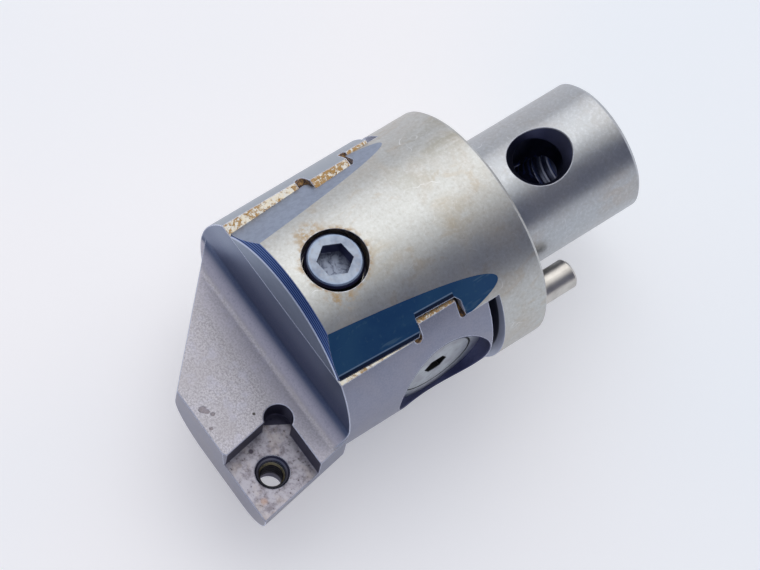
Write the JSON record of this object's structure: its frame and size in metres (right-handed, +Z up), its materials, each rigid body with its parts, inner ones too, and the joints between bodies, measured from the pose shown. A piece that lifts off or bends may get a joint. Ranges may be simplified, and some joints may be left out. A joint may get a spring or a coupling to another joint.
{
  "type": "boring head",
  "caption": "Finish boring head with a pilot shank, a T slide carrying an insert holder, a dial-headed adjusting screw and a clamp screw.",
  "frame": {"origin": "on the tool axis, in the flange face that seats on the holder", "axes": "+Y along the tool axis towards the end of the pilot shank, +X along the slide's travel towards the cutting tip, +Z up through the head of the clamp screw; the rest pose has the slide 0.45 mm inside its centred position, as in the picture"},
  "size_m": [0.0344, 0.0649, 0.032],
  "materials": {
    "ground_steel": "ground tool steel with a light brown tarnish",
    "slide_steel": "ground tool steel, speckled and lightly rusted",
    "hardened_steel": "hardened and ground",
    "screw_steel": "turned, satin",
    "dial_steel": "fine turned, satin",
    "spring_steel": "oiled spring steel",
    "bush_bronze": "machined bronze",
    "seal_rubber": "matt black rubber"
  },
  "bodies": {
    "head_body": {"body": "ground_steel", "drive_pin": "hardened_steel", "travel_nut": "bush_bronze", "nut_screw": "screw_steel", "clamp_washer": "hardened_steel"},
    "slide_unit": {"slide": "slide_steel", "vernier_ring": "dial_steel", "thrust_washer": "hardened_steel", "dial_bush": "bush_bronze", "end_bush": "bush_bronze", "end_plug": "screw_steel", "spring_1": "spring_steel", "spring_2": "spring_steel", "spring_3": "spring_steel", "spring_4": "spring_steel", "spring_washer": "hardened_steel"},
    "adjusting_unit": {"adjusting_screw": "screw_steel", "lock_nut": "screw_steel", "seal_ring": "seal_rubber"},
    "clamp_unit": {"clamp_screw": "screw_steel"}
  },
  "joints": [
    {"name": "slide_travel", "type": "slide", "parent": "head_body", "child": "slide_unit", "axis": [1, 0, 0], "range_m": [-0.00205, 0.00295]},
    {"name": "screw_turn", "type": "hinge", "parent": "slide_unit", "child": "adjusting_unit", "pos_m": [0, -0.0155, 0], "axis": [1, 0, 0], "range_deg": [-1476.1, 2124.1]},
    {"name": "clamp_turn", "type": "hinge", "parent": "head_body", "child": "clamp_unit", "pos_m": [0, -0.0234, 0], "axis": [0, 0, 1], "range_deg": [0, 270]}
  ],
  "couplings": [
    {"joint": "screw_turn", "follows": "slide_travel", "rad_per_m": 12566}
  ]
}
